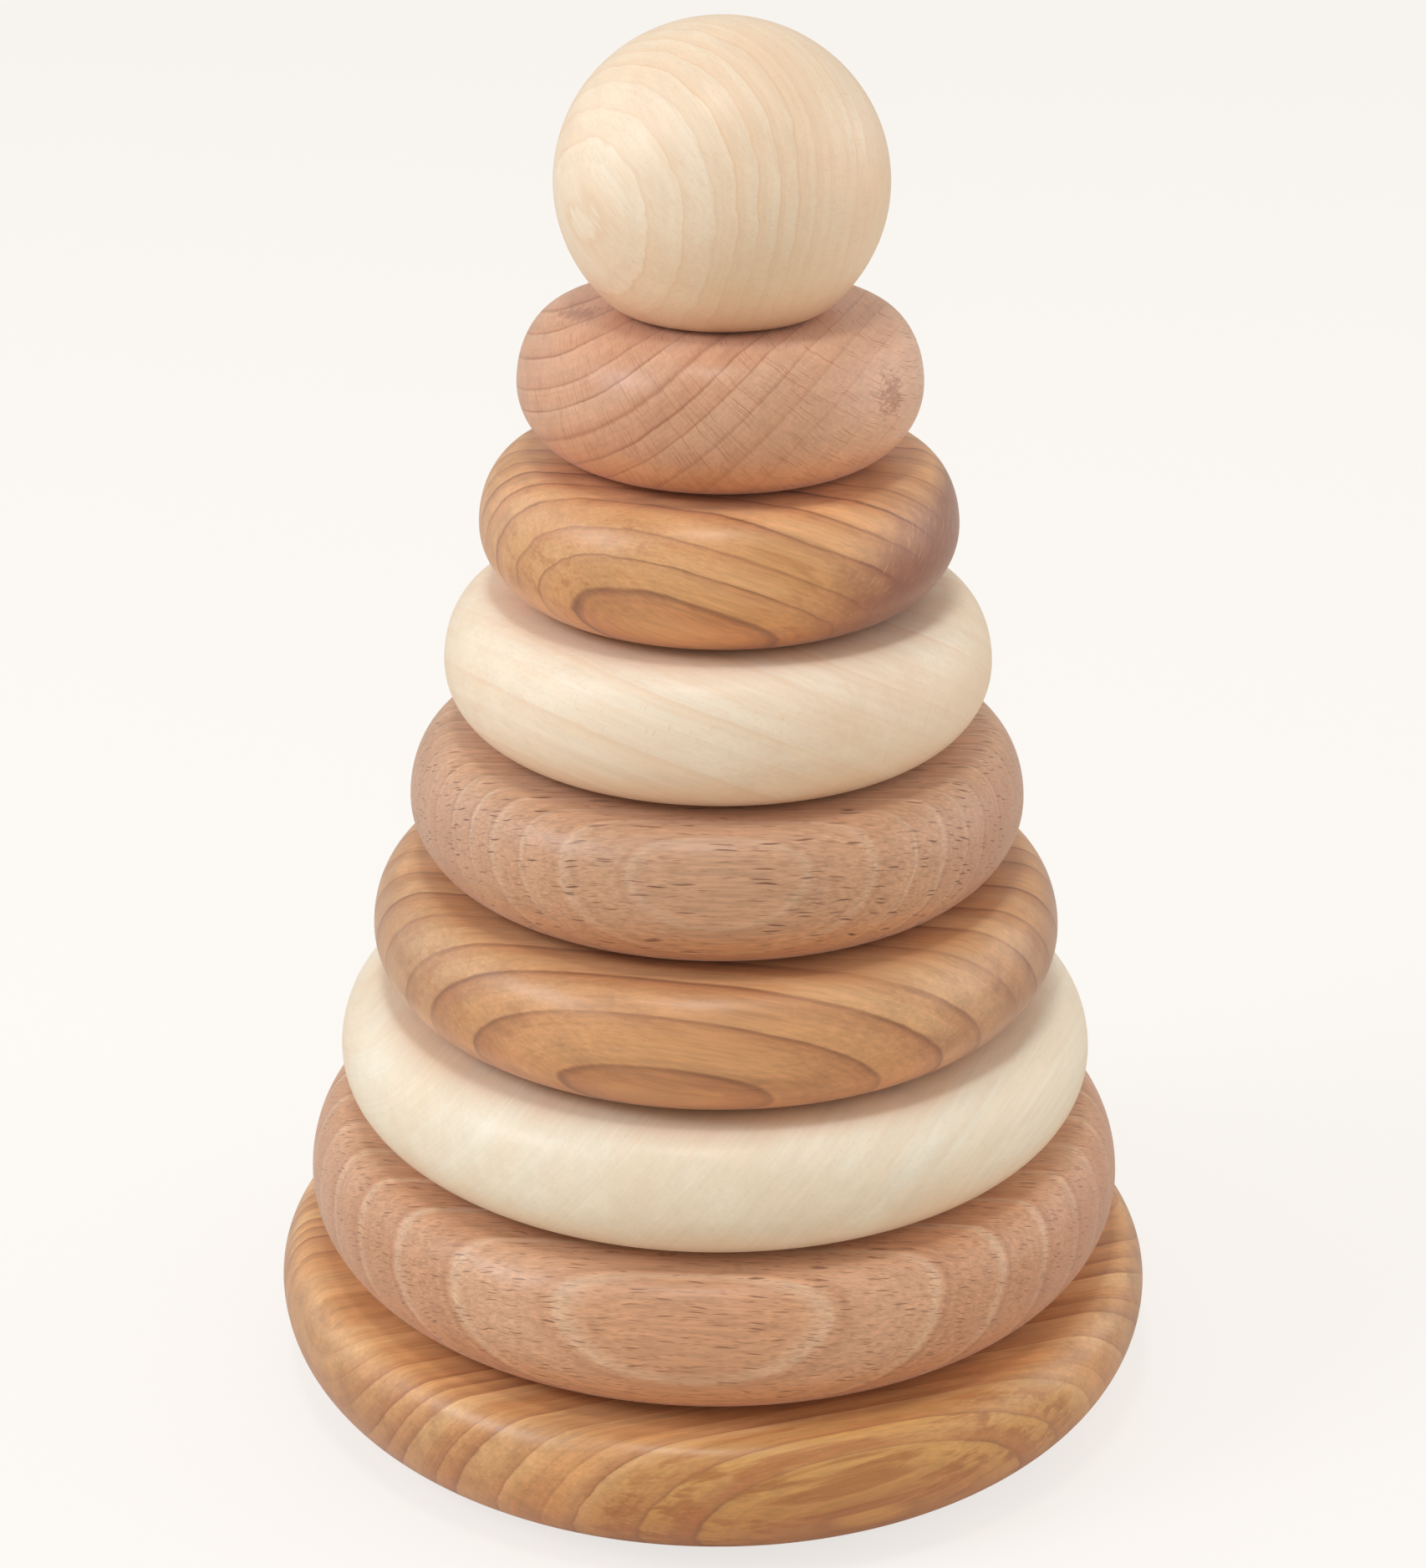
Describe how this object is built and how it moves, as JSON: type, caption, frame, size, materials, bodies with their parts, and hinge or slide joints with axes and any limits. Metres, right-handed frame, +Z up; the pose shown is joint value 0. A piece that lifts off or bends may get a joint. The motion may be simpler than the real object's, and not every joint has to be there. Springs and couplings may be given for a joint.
{
  "type": "wooden stacking ring tower",
  "caption": "Wooden stacking tower: turned rings of falling size and a ball lift off one peg that stands in a round base.",
  "frame": {"origin": "middle of the base's flat underside, on the peg's axis", "axes": "+Z up along the peg's axis; +X and +Y are free, since every piece is turned about Z"},
  "size_m": [0.13, 0.13, 0.202],
  "materials": {
    "cherry": "golden brown fruitwood, sanded, satin oiled",
    "beech": "pinkish tan beech with short flecks, sanded, satin oiled",
    "maple": "pale cream maple, sanded, satin oiled"
  },
  "bodies": {
    "base": {"base": "cherry", "peg": "beech"},
    "ring_1": {"ring_1": "beech"},
    "ring_2": {"ring_2": "maple"},
    "ring_3": {"ring_3": "cherry"},
    "ring_4": {"ring_4": "beech"},
    "ring_5": {"ring_5": "maple"},
    "ring_6": {"ring_6": "cherry"},
    "ring_7": {"ring_7": "beech"},
    "ball": {"ball": "maple"}
  },
  "joints": [
    {"name": "ring_1_lift", "type": "slide", "parent": "base", "child": "ring_1", "axis": [0, 0, 1], "range_m": [0, 0.1655]},
    {"name": "ring_2_lift", "type": "slide", "parent": "ring_1", "child": "ring_2", "axis": [0, 0, 1], "range_m": [0, 0.144]},
    {"name": "ring_3_lift", "type": "slide", "parent": "ring_2", "child": "ring_3", "axis": [0, 0, 1], "range_m": [0, 0.125]},
    {"name": "ring_4_lift", "type": "slide", "parent": "ring_3", "child": "ring_4", "axis": [0, 0, 1], "range_m": [0, 0.1055]},
    {"name": "ring_5_lift", "type": "slide", "parent": "ring_4", "child": "ring_5", "axis": [0, 0, 1], "range_m": [0, 0.085]},
    {"name": "ring_6_lift", "type": "slide", "parent": "ring_5", "child": "ring_6", "axis": [0, 0, 1], "range_m": [0, 0.0645]},
    {"name": "ring_7_lift", "type": "slide", "parent": "ring_6", "child": "ring_7", "axis": [0, 0, 1], "range_m": [0, 0.0445]},
    {"name": "ball_lift", "type": "slide", "parent": "ring_7", "child": "ball", "axis": [0, 0, 1], "range_m": [0, 0.024]}
  ]
}
